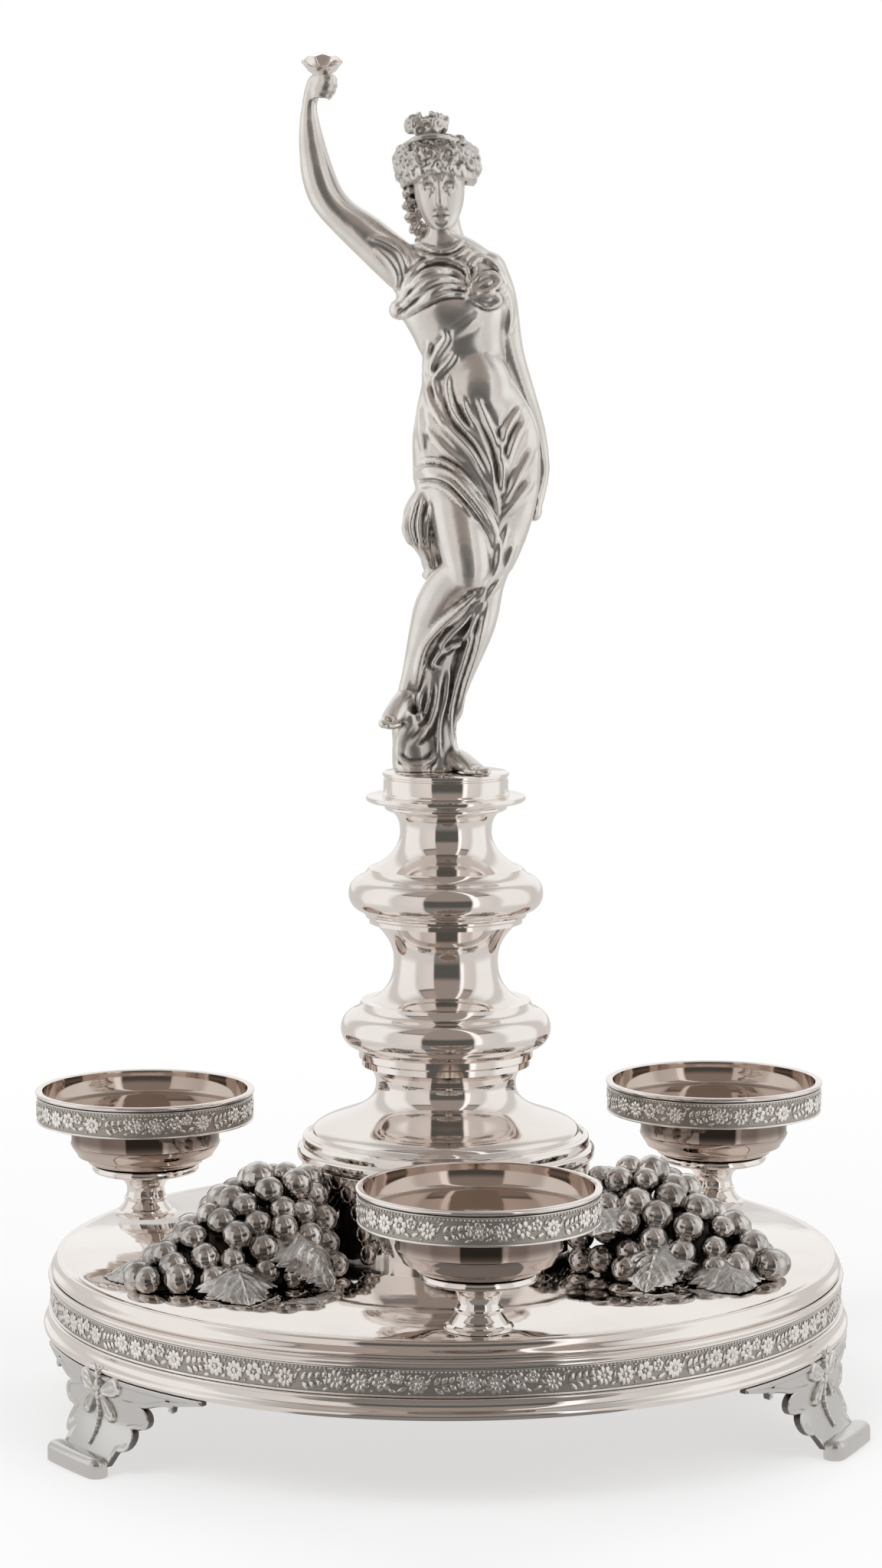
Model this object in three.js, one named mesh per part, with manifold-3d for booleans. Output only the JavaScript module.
// A silver-plated table centrepiece. A round plateau on three feet carries a turned column with
// a standing figure, three lift-off dishes on pedestals and three bunches of grapes.
// Units are millimetres, +Z is up, and the origin is on the table, on the column's axis.

import * as THREE from 'three';
import { mergeVertices } from 'three/addons/utils/BufferGeometryUtils.js';
import Module from 'manifold-3d';

const wasm = await Module();
wasm.setup();

// Sizes that several pieces share.
const clearance = 0.3; // between neighbours that touch on the real piece
const wideSides = 36; // facets round the plateau
const columnSides = 16;
const dishSides = 18;
const smallSides = 12;
const setTurn = 5; // degrees that the plateau and what it carries are turned from the figure's front
const footHeight = 38.5; // table to the top of a foot's shoulder

// The plateau: a spun top with a skirt, dressed with a bead, a flower band and a base moulding.
const plateau = {
  rim: 171.5, ledge: 4, drop: 0.8, plate: 2.4, skirt: 1.5, lip: 2.7, lipDrop: 7, height: 31.7, wall: 1.8,
};
const bead = { height: 3.7, reach: 2 };
const flowerBand = { height: 11.6, thick: 0.9 };
const moulding = { reach: 4.2, lip: 1.6, bead: 1.4 };

// The column, from the plateau up. A bell narrows from its foot to its waist and flares to its head.
// A knop swells from its neck to its ring and draws in to its head.
const column = { wall: 1.6, rod: 3, rodInFigure: 9 };
const drum = { radius: 63.5, height: 40 };
const flange = { overhang: 2.1, ledge: 0.4, height: 12.4, band: 5.5 };
const lowerBell = {
  foot: drum.radius - 4.5, waist: 30.8, head: 36.4, height: 29.2, waistAt: 20.8,
  shoulder: 1.5, shoulderAt: 6.5, hollowAt: 6.5, rise: 5.2, lip: 2.6, lipDrop: 1,
};
const lowerKnop = {
  neck: lowerBell.head + 0.6, neckHeight: 2.6, step: 39, ring: 46.2, ringLow: 8, ringHigh: 24.4,
  head: 37.2, height: 28.5,
};
const middleBell = {
  foot: lowerKnop.head - 4.2, waist: 22.9, head: 31.6, height: 34.5, waistAt: 17.5,
  shoulder: 7, shoulderAt: 3.5, hollowAt: 10, rise: 7.5, lip: 5.1, lipDrop: 5,
};
const upperKnop = {
  neck: middleBell.head + 2, neckHeight: 1.8, step: 36, ring: 42.7, ringLow: 5.2, ringHigh: 20.5,
  head: 34, height: 24.2,
};
const upperBell = {
  foot: upperKnop.head - 1.6, waist: 20.1, head: 23.8, height: 24.8, waistAt: 15.7,
  shoulder: 6.9, shoulderAt: 3.5, hollowAt: 9, rise: 4.3, lip: 2.8, lipDrop: 2.3,
};
const dripDisc = { collar: 26.8, collarHeight: 2.6, radius: 35, edge: 2.6, height: 6.9 };
const plinth = { radius: 27.4, flare: 0.5, height: 10.4 };

// The dishes, each on a seat drum and a pedestal.
const dish = { radius: 50, rim: 1.6, rimHeight: 2.2, wall: 1.5, floor: 1.5, depth: 10.4, skirt: 2.4 };
const dishBand = { thick: 0.8 };
const spigot = { radius: 6, length: 8 };
const pedestal = { foot: 14.2, stem: 8.6, cup: 24.3, cupEdge: 2.4, height: 23.2, locator: 2, fromRim: 5.5 };
const seatDrum = { radius: 34, foot: pedestal.cup - 0.8, taper: 10, height: 22.7, wall: 1.6 };

// What holds the pieces to the plateau, from under it.
const washer = { radius: 14, thick: 1.5 };
const rodNut = { radius: 6.5, height: 5 };
const nut = { radius: 4.8, height: 4 };
const stud = { radius: 2, spare: 1.5 };
const screw = { radius: 1.4, head: 3, headHeight: 2, above: 6, grip: 1.2 };

// The feet.
const foot = { half: 64, wall: 3, tabHalf: 52, tabHeight: 13.5, lobe: 30.5, neck: 18.5, flare: 8 };
const toe = { half: 20.5, deep: 9.5, height: 8.6, reach: 8.4 };
const insect = { thick: 1.4, centre: 31, wing: 8.4, wingHalf: 2.9, body: 2, bodyHalf: 5, tail: 20, head: 2 };

// The bunches of grapes: heights and half widths are those of the grapes' centres, at equal steps
// from the column out to the rim.
const bunch = {
  stand: 11, fromRim: 9.5, rows: 7,
  heights: [38, 42.5, 31, 20.5, 8],
  halves: [22, 29.5, 25.5, 17, 5],
};
const grape = { radius: 6.5, across: 24 };
const leaf = { length: 32, half: 16, thick: 1.1 };

// The cup in the figure's hand.
const cup = { radius: 8.8, wall: 1.2, height: 5.4, floor: 1, foot: 3, stem: 1.3, stemLength: 8, tilt: 20 };
const hand = { x: -53, y: -2, height: 301 };

// Places that follow from the sizes.
const skirtRadius = plateau.rim + plateau.skirt;
const skirtBottom = footHeight + clearance;
const deck = skirtBottom + plateau.height;
const underDeck = deck - plateau.plate;
const drumTop = deck + drum.height;
const flangeTop = drumTop + flange.height;
const lowerBellTop = flangeTop + lowerBell.height;
const lowerKnopTop = lowerBellTop + lowerKnop.height;
const middleBellTop = lowerKnopTop + middleBell.height;
const upperKnopTop = middleBellTop + upperKnop.height;
const upperBellTop = upperKnopTop + upperBell.height;
const dripDiscTop = upperBellTop + dripDisc.height;
const plinthTop = dripDiscTop + plinth.height;
const rodBore = column.rod + clearance;
const studBore = stud.radius + clearance;
const dishCircle = plateau.rim - pedestal.foot - pedestal.fromRim;
const bunchStart = drum.radius + bunch.stand;
const bunchEnd = plateau.rim - bunch.fromRim - grape.radius;
const bunchCircle = (bunchStart + bunchEnd) / 2;

const radians = THREE.MathUtils.degToRad;
const facet = 360 / wideSides;

// Solids. Joins and cuts take closed geometries and give one back.
const toSolid = (geometry) => {
  const bare = geometry.clone();
  bare.deleteAttribute('normal');
  bare.deleteAttribute('uv');
  const merged = mergeVertices(bare, 1e-4);
  const corners = Array.from(merged.index.array);
  const kept = [];
  for (let i = 0; i < corners.length; i += 3) {
    const [a, b, c] = corners.slice(i, i + 3);
    if (a !== b && b !== c && c !== a) kept.push(a, b, c);
  }
  const vertProperties = new Float32Array(merged.attributes.position.array);
  return new wasm.Manifold(new wasm.Mesh({ numProp: 3, vertProperties, triVerts: new Uint32Array(kept) }));
};

const toGeometry = (solid) => {
  const mesh = solid.getMesh();
  const geometry = new THREE.BufferGeometry();
  geometry.setAttribute('position', new THREE.BufferAttribute(new Float32Array(mesh.vertProperties), 3));
  geometry.setIndex(new THREE.BufferAttribute(new Uint32Array(mesh.triVerts), 1));
  geometry.computeVertexNormals();
  return geometry;
};

const join = (pieces) => toGeometry(pieces.map(toSolid).reduce((whole, piece) => whole.add(piece)));
const cut = (body, tools) =>
  toGeometry(tools.map(toSolid).reduce((whole, tool) => whole.subtract(tool), toSolid(body)));
const common = (first, second) => toGeometry(toSolid(first).intersect(toSolid(second)));

// A turned piece. Its outline is [radius, height] points, on the axis at both ends or closed on itself.
const turned = (outline, sides) => {
  const points = outline.map(([radius, height]) => new THREE.Vector2(radius, height));
  if (THREE.ShapeUtils.area(points) < 0) points.reverse();
  if (points[0].x > 0 || points.at(-1).x > 0) points.push(points[0].clone());
  return new THREE.LatheGeometry(points, sides).rotateX(Math.PI / 2);
};

const pin = (radius, low, high, sides) =>
  turned([[0, low], [radius, low], [radius, high], [0, high]], sides);

const ring = (inner, outer, low, high, sides) =>
  turned([[inner, low], [outer, low], [outer, high], [inner, high]], sides);

const hexNut = (radius, bore, low, high) =>
  cut(pin(radius, low, high, 6), [pin(bore, low - 1, high + 1, smallSides)]);

// A spun shell, open below, whose flat top has a hole for the tie rod. Heights count from its foot.
const spun = (outer, inner, base) => {
  const height = outer.at(-1)[1];
  const top = [[rodBore, height], [rodBore, height - column.wall]];
  return turned([...outer, ...top, ...inner], columnSides).translate(0, 0, base);
};

// A shell's outside, with an inside that follows it one wall thickness in.
const withWall = (outer) => {
  const ceiling = outer.at(-1)[1] - column.wall;
  const kept = outer.filter(([, height]) => height < ceiling);
  const inner = kept.map(([radius, height]) => [radius - column.wall, height]).reverse();
  return [outer, [[inner[0][0], ceiling], ...inner]];
};

// A flat outline in X and Z, drawn out along -Y from near to far.
const slab = (shape, near, far, curveSegments = 4) => {
  const options = { depth: far - near, bevelEnabled: false, curveSegments };
  const geometry = new THREE.ExtrudeGeometry(shape, options);
  return geometry.translate(0, 0, near).rotateX(Math.PI / 2);
};

const block = (low, high) => {
  const size = high.map((value, axis) => value - low[axis]);
  const middle = high.map((value, axis) => (value + low[axis]) / 2);
  return new THREE.BoxGeometry(...size).translate(...middle);
};

const lump = ([x, y, z], [wide, deep, tall], sides = 8) => {
  const ball = new THREE.SphereGeometry(1, sides, Math.round(sides * 0.7));
  return ball.rotateX(Math.PI / 2).scale(wide, deep, tall).translate(x, y, z);
};

// A limb runs through rings [x, y, z, half width, half depth], from the top down where it is upright
// and its rings are level. The depth lies along Y, or upward where the limb lies flat, and it is left
// out where the limb is round. A relief moves every other corner out and the rest in.
const limb = (rings, sides, { upright = false, flat = false, relief = 0 } = {}) => {
  const last = rings.length - 1;
  const geometry = new THREE.CylinderGeometry(1, 1, 1, sides, last);
  const spots = geometry.attributes.position;
  const centres = rings.map(([x, y, z]) => new THREE.Vector3(x, y, z));
  const depthAxis = flat ? new THREE.Vector3(0, 0, 1) : new THREE.Vector3(0, 1, 0);
  for (let i = 0; i < spots.count; i += 1) {
    const row = Math.round((0.5 - spots.getY(i)) * last);
    const corner = row + Math.round((Math.atan2(spots.getX(i), spots.getZ(i)) / (2 * Math.PI)) * sides);
    const raised = row > 0 && row < last ? relief * (corner % 2 ? -1 : 1) : 0;
    const [, , , wide, deep = wide] = rings[row];
    const along = new THREE.Vector3(0, 0, 1);
    const [before, after] = [centres[Math.max(row - 1, 0)], centres[Math.min(row + 1, last)]];
    if (!upright) along.subVectors(before, after).normalize();
    const side = new THREE.Vector3().crossVectors(along, depthAxis).normalize();
    const front = new THREE.Vector3().crossVectors(side, along);
    const spot = centres[row].clone();
    spot.addScaledVector(side, spots.getX(i) * (wide + raised));
    spot.addScaledVector(front, spots.getZ(i) * (deep + raised));
    spots.setXYZ(i, spot.x, spot.y, spot.z);
  }
  return geometry;
};

// Finishes.
const metal = (color, roughness) => () => new THREE.MeshStandardMaterial({ color, roughness, metalness: 1 });
const polished = metal('#cfc9c2', 0.12);
const satin = metal('#b9b6b0', 0.3);
const oxidised = metal('#9c9a93', 0.42);
const patinated = metal('#8d8784', 0.28);
const brass = metal('#b79a5b', 0.35);
const steel = metal('#8f9194', 0.4);

const centrepiece = new THREE.Group();
const plateauSet = new THREE.Group();
plateauSet.rotation.z = radians(setTurn);
centrepiece.add(plateauSet);

const place = (parent, name, geometry, material) => {
  const piece = new THREE.Mesh(geometry, material());
  piece.name = name;
  parent.add(piece);
};

// A holder whose -Y axis points to its station, the given distance out.
const station = (angle, distance) => {
  const holder = new THREE.Group();
  const spot = new THREE.Group();
  holder.rotation.z = radians(angle);
  spot.position.y = -distance;
  holder.add(spot);
  plateauSet.add(holder);
  return spot;
};

const dishStations = { front: 0, right: 120, left: 240 };
const footStations = { right: 60, back: 180, left: 300 };

// The plateau. Its mouldings run round the skirt, a clearance outside it and from each other.
const dressing = skirtRadius + clearance;
const beadTop = deck - plateau.lipDrop - clearance;
const bandTop = beadTop - bead.height - clearance;
const mouldingTop = bandTop - flowerBand.height - clearance;

const studHole = (angle, distance) =>
  pin(studBore, underDeck - 1, deck + 1, 8).translate(0, -distance, 0).rotateZ(radians(angle));

const apothem = (radius) => radius * Math.cos(radians(facet / 2));

// The screws of a foot stand in the middle of a facet, square to it.
const screwAngles = [-1.5 * facet, 1.5 * facet];
const screwHeight = footHeight + screw.above;
const radialPin = (radius, near, far, angle) =>
  pin(radius, near, far, 6).rotateX(Math.PI / 2).translate(0, 0, screwHeight).rotateZ(radians(angle));
const screwHole = (angle) => radialPin(screw.radius + clearance, skirtRadius - 12, skirtRadius + 1, angle);

const makePlateau = () => {
  const inside = skirtRadius - plateau.wall;
  const flat = plateau.rim - plateau.ledge;
  const outline = [
    [rodBore, deck],
    [flat, deck],
    [flat, deck - plateau.drop],
    [plateau.rim, deck - plateau.drop],
    [plateau.rim + 0.5, deck - plateau.lipDrop / 2],
    [plateau.rim + plateau.lip, deck - plateau.lipDrop + 1],
    [plateau.rim + plateau.lip, deck - plateau.lipDrop],
    [skirtRadius, deck - plateau.lipDrop],
    [skirtRadius, skirtBottom],
    [inside, skirtBottom],
    [inside, underDeck - 2],
    [flat - 1, underDeck],
    [rodBore, underDeck],
  ];
  const holes = [
    ...Object.values(dishStations).map((angle) => studHole(angle, dishCircle)),
    ...Object.values(footStations).map((angle) => studHole(angle, bunchCircle)),
    ...Object.values(footStations).flatMap((angle) => screwAngles.map((offset) => screwHole(angle + offset))),
  ];
  return cut(turned(outline, wideSides), holes);
};
place(plateauSet, 'plateau', makePlateau(), polished);

const beadOutline = [
  [dressing, beadTop],
  [dressing, beadTop - bead.height],
  [dressing + bead.reach * 0.7, beadTop - bead.height],
  [dressing + bead.reach, beadTop - bead.height / 2],
  [dressing + bead.reach * 0.7, beadTop],
];
place(plateauSet, 'bead_moulding', turned(beadOutline, wideSides), polished);

const band = ring(dressing, dressing + flowerBand.thick, bandTop - flowerBand.height, bandTop, wideSides);
place(plateauSet, 'flower_band', band, oxidised);

const mouldingOutline = [
  [dressing, skirtBottom],
  [dressing + moulding.reach - 0.8, skirtBottom],
  [dressing + moulding.reach, skirtBottom + moulding.lip],
  [dressing + moulding.reach - 0.8, skirtBottom + moulding.lip * 2],
  [dressing + moulding.bead, skirtBottom + moulding.lip * 3.6],
  [dressing + moulding.bead, mouldingTop],
  [dressing, mouldingTop],
];
place(plateauSet, 'base_moulding', turned(mouldingOutline, wideSides), polished);

// The feet. A foot is part of a ring cut to its outline, with a tab behind the skirt and a toe in front.
const tabOuter = skirtRadius - plateau.wall - clearance;
const tabInner = tabOuter - foot.wall;
const faceRadius = dressing + moulding.reach - 0.9;
const toeRadius = faceRadius + foot.flare + toe.reach - toe.deep / 2;

// The face of a foot, from its shoulder down to the toe, moved out by grow.
const footFace = (grow) => [
  [faceRadius + grow, footHeight],
  [faceRadius + grow, footHeight * 0.6],
  [faceRadius + foot.flare * 0.2 + grow, footHeight * 0.42],
  [faceRadius + foot.flare + grow, toe.height - 1],
  [faceRadius + foot.flare + 1.5 + grow, toe.height / 2],
];

const footRing = turned(
  [
    [tabInner, footHeight + foot.tabHeight],
    [tabOuter, footHeight + foot.tabHeight],
    [tabOuter, footHeight],
    ...footFace(0),
    ...footFace(-foot.wall).slice(1).reverse(),
    [faceRadius - foot.wall, footHeight - foot.wall],
    [tabInner, footHeight - foot.wall],
  ],
  wideSides,
);

// Wings with a cusp, then two lobes a side, down to the toe. One side is drawn and the other mirrored.
const footOutline = () => {
  const side = new THREE.Path();
  side.moveTo(foot.tabHalf, footHeight + foot.tabHeight);
  side.lineTo(foot.tabHalf, footHeight);
  side.lineTo(foot.half, footHeight);
  side.lineTo(foot.half, footHeight - 1.9);
  side.lineTo(foot.half - 15.5, footHeight - 4.5);
  side.lineTo(foot.half - 16.2, footHeight - 7.9);
  side.lineTo(foot.half - 17.8, footHeight - 5.3);
  side.lineTo(foot.lobe - 1.5, footHeight * 0.77);
  side.quadraticCurveTo(foot.lobe + 4, footHeight * 0.6, foot.lobe - 8, footHeight * 0.51);
  side.quadraticCurveTo(foot.lobe - 6, footHeight * 0.33, foot.neck, footHeight * 0.26);
  side.lineTo(foot.neck, toe.height / 2);
  const points = side.getPoints(4);
  const mirrored = points.map(({ x, y }) => new THREE.Vector2(-x, y)).reverse();
  return new THREE.Shape([...points, ...mirrored]);
};

const toeBar = () => {
  const outline = new THREE.Shape();
  const round = toe.deep / 2;
  outline.absarc(toe.half - round, 0, round, -Math.PI / 2, Math.PI / 2);
  outline.absarc(round - toe.half, 0, round, Math.PI / 2, Math.PI * 1.5);
  const options = { depth: toe.height, bevelEnabled: false, curveSegments: 4 };
  return new THREE.ExtrudeGeometry(outline, options).translate(0, -toeRadius, 0);
};

const makeFoot = () => {
  const plate = common(footRing, slab(footOutline(), tabInner - 12, faceRadius + foot.flare + 4));
  return cut(join([plate, toeBar()]), screwAngles.map(screwHole));
};

// A winged insect applied to the face of each foot: a head, two pairs of wings and a long tail.
const makeInsect = () => {
  const oval = (x, z, wide, tall, lean, points) => {
    const shape = new THREE.Shape();
    shape.absellipse(x, z, wide, tall, 0, Math.PI * 2, false, lean);
    return slab(shape, faceRadius - 6, faceRadius + foot.flare + 6, points);
  };
  const tail = new THREE.Shape([
    new THREE.Vector2(-insect.body, insect.centre),
    new THREE.Vector2(0, insect.centre - insect.tail),
    new THREE.Vector2(insect.body, insect.centre),
  ]);
  const wings = [-1, 1].flatMap((side) => [
    oval(side * insect.wing * 0.8, insect.centre + 2.2, insect.wing, insect.wingHalf, side * 0.35, 6),
    oval(side * insect.wing * 0.7, insect.centre - 2.2, insect.wing * 0.8, insect.wingHalf, -side * 0.35, 6),
  ]);
  const outline = join([
    ...wings,
    oval(0, insect.centre, insect.body, insect.bodyHalf, 0, 6),
    oval(0, insect.centre + insect.bodyHalf, insect.head, insect.head, 0, 6),
    slab(tail, faceRadius - 6, faceRadius + foot.flare + 6),
  ]);
  const skin = [...footFace(clearance), ...footFace(clearance + insect.thick).reverse()];
  return common(outline, turned(skin, wideSides));
};

// A screw's head bears on the tab, and its shank ends inside the skirt.
const makeScrew = (angle) => {
  const seat = apothem(tabInner) - clearance;
  const end = apothem(skirtRadius - plateau.wall) + screw.grip;
  const head = radialPin(screw.head, seat - screw.headHeight, seat, angle);
  return join([head, radialPin(screw.radius, seat - screw.headHeight / 2, end, angle)]);
};

for (const [side, angle] of Object.entries(footStations)) {
  const spot = station(angle, 0);
  place(spot, `foot_${side}`, makeFoot(), polished);
  place(spot, `foot_insect_${side}`, makeInsect(), patinated);
  screwAngles.forEach((offset, i) => place(spot, `foot_screw_${side}_${i + 1}`, makeScrew(offset), brass));
}

// The column.
const sweep = (steps, ...controls) => {
  const curve = new THREE.CubicBezierCurve(...controls.map(([x, y]) => new THREE.Vector2(x, y)));
  return curve.getPoints(steps).map(({ x, y }) => [x, y]);
};

const bell = (size) => {
  const { foot: low, waist, head, height, waistAt } = size;
  const narrow = [waist, waistAt];
  const shoulder = [low - size.shoulder, size.shoulderAt];
  const flare = [head - size.lip, height - size.lipDrop];
  const below = sweep(4, [low, 0], shoulder, [waist, size.hollowAt], narrow);
  const above = sweep(3, narrow, [waist, waistAt + size.rise], flare, [head, height]);
  const outer = [...below, ...above.slice(1)];
  return withWall(outer);
};

const knop = ({ neck, neckHeight, step, ring: bulge, ringLow, ringHigh, head, height }, seat) => {
  const middle = (ringLow + ringHigh) / 2;
  const half = (ringHigh - ringLow) / 2;
  const around = [-60, -30, 0, 30, 60].map(radians);
  const rings = around.map((turn) => [
    step + (bulge - step) * Math.cos(turn),
    middle + half * Math.sin(turn),
  ]);
  const foot = [[neck, 0], [neck, neckHeight], [step, ringLow]];
  const top = [[step, ringHigh], [head, height - 1], [head, height]];
  const inner = [
    [head - column.wall, height - column.wall],
    [step - column.wall * 1.5, ringHigh],
    [bulge - column.wall, middle],
    [step - column.wall * 1.5, ringLow],
    [seat - 2 * column.wall, 0],
  ];
  return [[...foot, ...rings, ...top], inner];
};

const stack = (name, [outer, inner], base) =>
  place(centrepiece, name, spun(outer, inner, base), polished);

const flangeRadius = drum.radius + flange.overhang;
const ledgeRadius = drum.radius - flange.ledge;
const flangeOutline = [
  [flangeRadius - 3, 0],
  [flangeRadius, 2],
  [flangeRadius, flange.band],
  [ledgeRadius, flange.band + 1.2],
  [ledgeRadius, flange.height - 2.2],
  [lowerBell.foot + 1, flange.height - 1.2],
  [lowerBell.foot, flange.height],
];

stack('base_drum', withWall([[drum.radius, 0], [drum.radius, drum.height]]), deck);
stack('base_flange', withWall(flangeOutline), drumTop);
stack('lower_bell', bell(lowerBell), flangeTop);
stack('lower_knop', knop(lowerKnop, lowerBell.head), lowerBellTop);
stack('middle_bell', bell(middleBell), lowerKnopTop);
stack('upper_knop', knop(upperKnop, middleBell.head), middleBellTop);
stack('upper_bell', bell(upperBell), upperKnopTop);

const discOutline = [
  [rodBore, 0],
  [upperBell.head, 0],
  [dripDisc.collar, dripDisc.collarHeight * 0.4],
  [dripDisc.collar, dripDisc.collarHeight],
  [dripDisc.radius - 0.6, dripDisc.height - dripDisc.edge],
  [dripDisc.radius, dripDisc.height - dripDisc.edge / 2],
  [dripDisc.radius - 0.8, dripDisc.height],
  [rodBore, dripDisc.height],
].map(([radius, height]) => [radius, upperBellTop + height]);
place(centrepiece, 'drip_disc', turned(discOutline, columnSides), polished);

const plinthOutline = [
  [plinth.radius + plinth.flare, 0],
  [plinth.radius, 2],
  [plinth.radius, plinth.height],
];
stack('figure_plinth', withWall(plinthOutline), dripDiscTop);

// The tie rod runs from its nut under the plateau up into the figure.
const rodTop = plinthTop + column.rodInFigure;
const nutTop = underDeck - washer.thick - 2 * clearance;
const rodBottom = nutTop - rodNut.height - stud.spare;
place(centrepiece, 'tie_rod', pin(column.rod, rodBottom, rodTop, smallSides), steel);
const washerTop = underDeck - clearance;
const washerDisc = ring(rodBore, washer.radius, washerTop - washer.thick, washerTop, smallSides);
place(centrepiece, 'tie_rod_washer', washerDisc, steel);
place(centrepiece, 'tie_rod_nut', hexNut(rodNut.radius, rodBore, nutTop - rodNut.height, nutTop), brass);

// A nut on a stud, under the plateau.
const studBottom = underDeck - clearance - nut.height - stud.spare;
const makeNut = () =>
  hexNut(nut.radius, studBore, underDeck - clearance - nut.height, underDeck - clearance);

// The dishes. A pedestal stands on the plateau, the seat drum on the pedestal, and the dish lifts off.
const pedestalFoot = deck + clearance;
const seatFoot = pedestalFoot + pedestal.height + clearance;
const dishFloor = seatFoot + seatDrum.height + clearance;

const makePedestal = () => {
  const { foot: base, stem, cup: top, cupEdge, height } = pedestal;
  const locator = seatDrum.foot - seatDrum.wall - clearance;
  const outline = [
    [0, studBottom - pedestalFoot],
    [stud.radius, studBottom - pedestalFoot],
    [stud.radius, 0],
    [base, 0],
    [base, 1.2],
    [base - 1.8, 3.2],
    [stem + 1, height * 0.28],
    [stem, height * 0.45],
    [stem, height * 0.56],
    [stem + 2, height * 0.68],
    [(stem + top) / 2, height * 0.8],
    [top, height - cupEdge],
    [top, height],
    [locator, height],
    [locator, height + pedestal.locator],
    [0, height + pedestal.locator],
  ];
  return turned(outline, smallSides).translate(0, 0, pedestalFoot);
};

const makeSeatDrum = () => {
  const { radius, foot: low, taper, height, wall } = seatDrum;
  const outer = [
    [low, 0],
    [low + 2.5, taper * 0.12],
    [radius - 3, taper * 0.47],
    [radius, taper],
    [radius, height],
  ];
  const socket = [[spigot.radius + clearance, height], [spigot.radius + clearance, height - wall]];
  const inner = [
    [radius - wall, height - wall],
    [radius - wall, taper],
    [radius - 3 - wall, taper * 0.47],
    [low + 2.5 - wall, taper * 0.12],
    [low - wall, 0],
  ];
  return turned([...outer, ...socket, ...inner], dishSides).translate(0, 0, seatFoot);
};

const makeDish = () => {
  const outer = dish.radius - dish.rim;
  const inner = outer - dish.wall;
  const top = dish.floor + dish.depth;
  const outline = [
    [0, -spigot.length],
    [spigot.radius, -spigot.length],
    [spigot.radius, 0],
    [inner, 0],
    [inner, -dish.skirt],
    [outer, -dish.skirt],
    [outer, top - dish.rimHeight],
    [dish.radius, top - dish.rimHeight * 0.7],
    [dish.radius, top - dish.rimHeight * 0.25],
    [dish.radius - 0.7, top],
    [inner, top],
    [inner, dish.floor + 2],
    [inner - 2, dish.floor],
    [0, dish.floor],
  ];
  return turned(outline, dishSides).translate(0, 0, dishFloor);
};

const makeDishBand = () => {
  const inner = dish.radius - dish.rim + clearance;
  const top = dishFloor + dish.floor + dish.depth - dish.rimHeight - clearance;
  return ring(inner, inner + dishBand.thick, dishFloor - dish.skirt, top, dishSides);
};

for (const [side, angle] of Object.entries(dishStations)) {
  const spot = station(angle, dishCircle);
  place(spot, `pedestal_${side}`, makePedestal(), polished);
  place(spot, `pedestal_nut_${side}`, makeNut(), brass);
  place(spot, `seat_drum_${side}`, makeSeatDrum(), polished);
  place(spot, `dish_${side}`, makeDish(), polished);
  place(spot, `dish_band_${side}`, makeDishBand(), oxidised);
}

// The bunches. Grapes lie in rows over a dome, and leaves are cast on its flanks.
const curveOf = (values) => {
  const points = values.map((value, step) => new THREE.Vector2(step / (values.length - 1), value));
  const curve = new THREE.SplineCurve(points);
  return (share) => curve.getPoint(share).y;
};
const bunchHeight = curveOf(bunch.heights);
const bunchHalf = curveOf(bunch.halves);

// The dome of grapes, each one a raised corner. It goes on below the plateau's top, where it is cut.
const grapes = () => {
  const last = bunch.rows * 2;
  const rings = Array.from({ length: last + 1 }, (_, row) => {
    const share = row / last;
    const out = THREE.MathUtils.lerp(bunchStart, bunchEnd, share) - bunchCircle;
    return [0, -out, deck, bunchHalf(share) + grape.radius / 2, bunchHeight(share) + grape.radius / 2];
  });
  const [, near, , wide, tall] = rings[0];
  const [, far] = rings[last];
  rings.unshift([0, near + grape.radius, deck, wide - grape.radius, tall - grape.radius]);
  rings.push([0, far - grape.radius, deck, grape.radius / 2, grape.radius / 2]);
  return limb(rings, grape.across, { flat: true, relief: grape.radius / 2 });
};

// A vine leaf with five lobes, drawn from its stalk at the origin to its tip along +Y.
const leafShape = () => {
  const lobes = [
    [0.3, -0.1],
    [0.85, 0.05],
    [0.6, 0.24],
    [1, 0.44],
    [0.56, 0.52],
    [0.55, 0.78],
    [0.2, 0.74],
  ].map(([across, along]) => [across * leaf.half, along * leaf.length]);
  const right = lobes.map(([x, y]) => new THREE.Vector2(x, y));
  const left = lobes.map(([x, y]) => new THREE.Vector2(-x, y)).reverse();
  return new THREE.Shape([new THREE.Vector2(0, 0), ...right, new THREE.Vector2(0, leaf.length), ...left]);
};

// Each leaf's stalk meets the bunch at a share of its length and so many degrees up over its arch.
// The tip points to a plan direction and falls steeply or gently, in degrees.
const leafPlaces = [
  { share: 0.25, up: 35, heading: -80, fall: 40 },
  { share: 0.6, up: 30, heading: -115, fall: 18 },
  { share: 0.45, up: 145, heading: 95, fall: 32 },
  { share: 0.75, up: 140, heading: 130, fall: 16 },
  { share: 0.12, up: 120, heading: 90, fall: 20 },
];

const makeLeaf = ({ share, up, heading, fall }) => {
  const blade = new THREE.ExtrudeGeometry(leafShape(), { depth: leaf.thick, bevelEnabled: false });
  blade.rotateX(radians(-fall)).rotateZ(radians(heading));
  const out = THREE.MathUtils.lerp(bunchStart, bunchEnd, share) - bunchCircle;
  const across = bunchHalf(share) * Math.cos(radians(up));
  return blade.translate(across, -out, deck + bunchHeight(share) * Math.sin(radians(up)));
};

const makeBunch = () => {
  const reach = 2 * (bunchEnd - bunchStart);
  const below = block([-reach, -reach, deck - reach], [reach, reach, deck + clearance]);
  const casting = cut(join([grapes(), ...leafPlaces.map(makeLeaf)]), [below]);
  return join([casting, pin(stud.radius, studBottom, deck + 4, 8)]);
};

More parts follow.
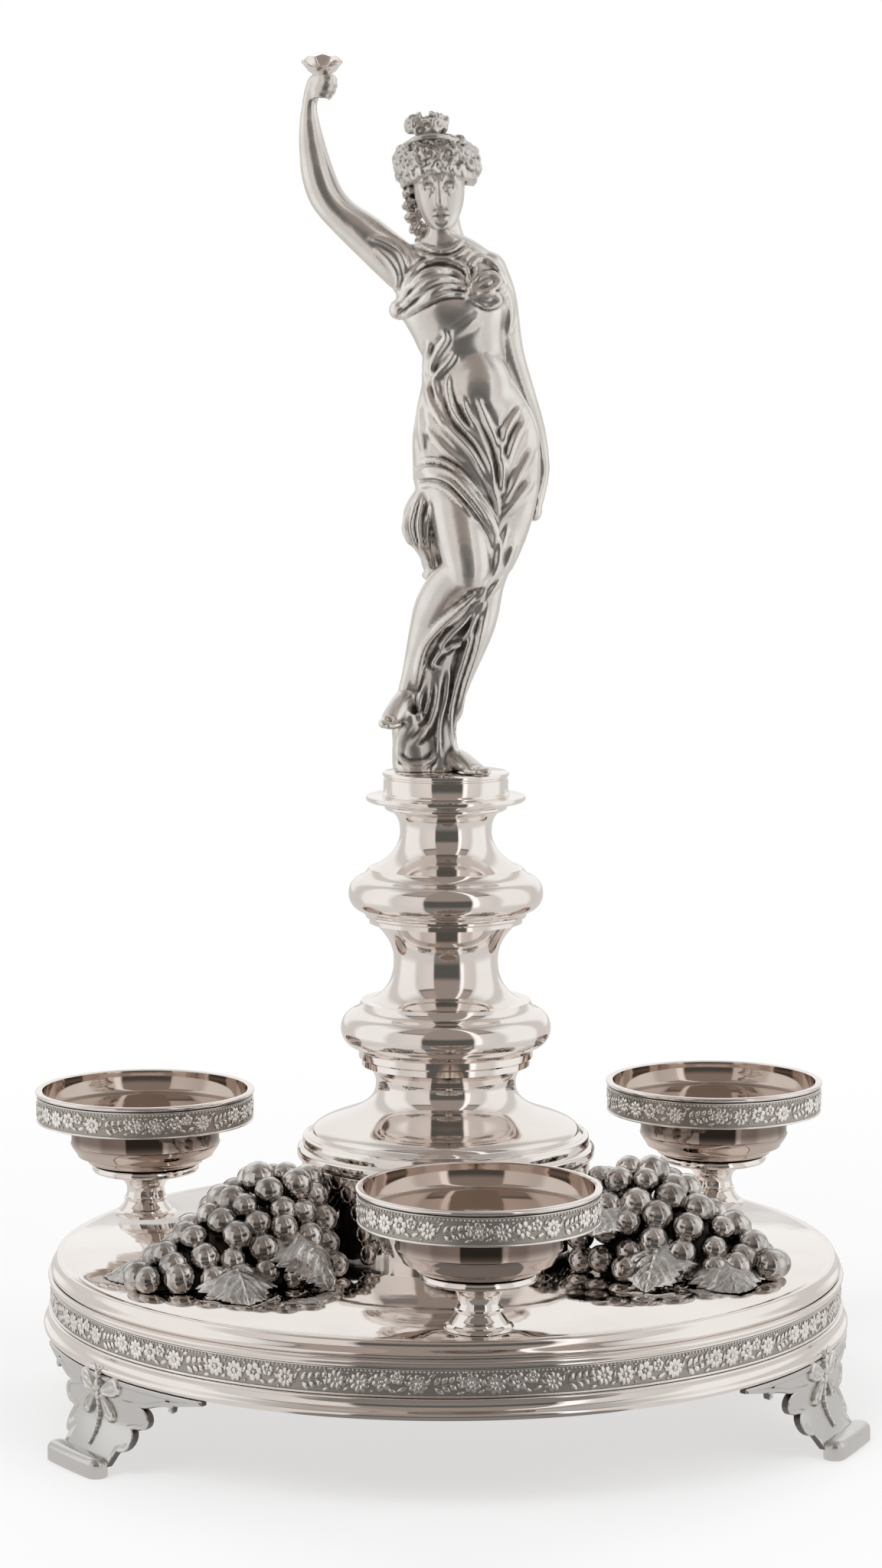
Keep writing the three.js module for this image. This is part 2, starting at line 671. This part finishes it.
for (const [side, angle] of Object.entries(footStations)) {
  const spot = station(angle, bunchCircle);
  place(spot, `grape_bunch_${side}`, makeBunch(), patinated);
  place(spot, `bunch_nut_${side}`, makeNut(), brass);
}

// The figure, in heights above the plinth. Its weight is on the leg at the viewer's right.
const torso = [
  [-1, 1, 226, 8.5, 7.5],
  [1, 1.5, 221, 18, 9],
  [2, 1, 214, 24.5, 11],
  [2.5, -1, 205, 24.5, 13.5],
  [3, -2, 197, 22.5, 14],
  [5.5, -0.5, 187, 19.5, 12],
  [8, 0, 178, 18.5, 11.5],
  [10.5, -1, 165, 22.5, 13.5],
  [12.8, -1, 148, 27.8, 15.5],
  [13.2, 0, 126, 27.5, 16],
  [15, 0, 104, 21.5, 13.5],
  [19, 0.5, 90, 11, 11],
];
const standingLeg = [
  [18, 0.5, 100, 12, 12],
  [16, 1, 79, 9, 9.5],
  [14, 2, 63, 7.2, 9],
  [6, 3, 38, 4.8, 6.5],
  [1, 4, 21, 4, 4.8],
  [1.5, 3.5, 7, 4.4, 5.5],
  [1.5, 3.5, 0, 5, 6],
];
const standingFoot = [
  [1, 4, 4, 5, 5],
  [7, -6, 4, 5.4, 4],
  [13, -15, 2, 5, 2.4],
];
const bentThigh = [
  [3, -2, 128, 14],
  [4, -12, 107, 11],
  [8.7, -15, 93, 10.2],
  [5, -14, 84, 9],
];
const bentCalf = [
  [4, -13, 88, 9],
  [-3, -6, 80, 9.6],
  [-9.8, -1, 56, 7],
  [-15.4, 1, 40, 4.4],
  [-17, 3, 33, 4.6],
];
const bentFoot = [
  [-16, 4, 33, 4.6],
  [-20, -3, 27, 4.8, 3.6],
  [-22, -9, 23.5, 3.6, 2.4],
];
const rock = [
  [-14.5, 0, 25, 7.5, 9],
  [-13.5, 4, 14, 9, 11],
  [-12, 5, 0, 10, 12],
];
const hangingCloth = [
  [2, 4, 90, 14, 10],
  [-1, 5, 66, 13, 9],
  [-3, 6, 40, 12, 9],
  [-3, 5, 22, 9, 9],
  [-2, 4, 0, 8, 9],
];
const hipPuff = [
  [-9, -4, 122, 5, 6],
  [-12, -5, 108, 7.5, 8],
  [-9, -5, 97, 6, 7],
  [-7, -4, 84, 3, 4],
];
const raisedArm = [
  [-16, 1, 216, 10],
  [-35, 1, 232.8, 8.9],
  [-51, 1, 248, 8],
  [-56.6, 0, 269.8, 6.1],
  [hand.x - 4.8, hand.y + 1, hand.height - 15, 3.8],
  [hand.x - 2, hand.y + 0.5, hand.height - 7, 4.4],
];
const loweredArm = [
  [18, 2, 214, 9],
  [27, 10, 180, 6.8],
  [33, 14, 165, 6],
  [40, 16, 143, 4.6],
  [41.9, 16, 130, 3.8],
  [38.5, 14, 118, 4.6],
];
const neck = [
  [-2.5, -0.5, 248, 7],
  [-2.3, 0, 236, 7],
  [-1, 1, 222, 8.5],
];
const ringlets = [
  [-13, 1, 256, 5],
  [-15, 1, 242, 4.4],
  [-14, 0, 229, 3],
];

// The cup and its stem, standing on the hand and leaning forward about it.
const atHand = (geometry) =>
  geometry.rotateX(radians(cup.tilt)).translate(hand.x, hand.y, plinthTop + hand.height);

const cupOutside = (grow) => [
  [0, -cup.stemLength - grow],
  [cup.stem + grow, -cup.stemLength - grow],
  [cup.stem + grow, -grow],
  [cup.foot + grow, -grow],
  [cup.radius - 1.4 + grow, cup.height * 0.45],
  [cup.radius + grow, cup.height + grow],
];

const makeFigure = () => {
  const body = join([
    limb(torso, 12, { upright: true }),
    limb(standingLeg, 8, { upright: true }),
    limb(standingFoot, 8, { flat: true }),
    limb(bentThigh, 8),
    limb(bentCalf, 8),
    limb(bentFoot, 8, { flat: true }),
    limb(rock, 7, { upright: true }),
    limb(hangingCloth, 8, { upright: true }),
    limb(hipPuff, 8, { upright: true }),
    limb(raisedArm, 8),
    limb(loweredArm, 8),
    limb(neck, 8, { upright: true }),
    limb(ringlets, 6, { upright: true }),
    lump([-2.5, -1, 254], [10.8, 13, 18.5], 10),
    lump([-3.2, 3, 262], [18.5, 15.5, 14], 10),
    lump([-5.7, 2, 278], [8.6, 7.5, 7]),
    lump([hand.x + 1.5, hand.y + 1, hand.height - 5], [6, 5, 4.2], 6),
  ]).translate(0, 0, plinthTop);
  const below = block([-100, -100, plinthTop - 50], [100, 100, plinthTop]);
  const rodHole = pin(rodBore, plinthTop - 1, rodTop + clearance, smallSides);
  const cupRoom = turned([...cupOutside(clearance), [0, cup.height + 2]], smallSides);
  return cut(body, [below, rodHole, atHand(cupRoom)]);
};

const makeCup = () => {
  const outline = [
    ...cupOutside(0),
    [cup.radius - cup.wall, cup.height],
    [cup.radius - 1.4 - cup.wall, cup.height * 0.5],
    [cup.foot, cup.floor],
    [0, cup.floor],
  ];
  return atHand(turned(outline, smallSides));
};

place(centrepiece, 'figure', makeFigure(), satin);
place(centrepiece, 'hand_cup', makeCup(), polished);

export default centrepiece;
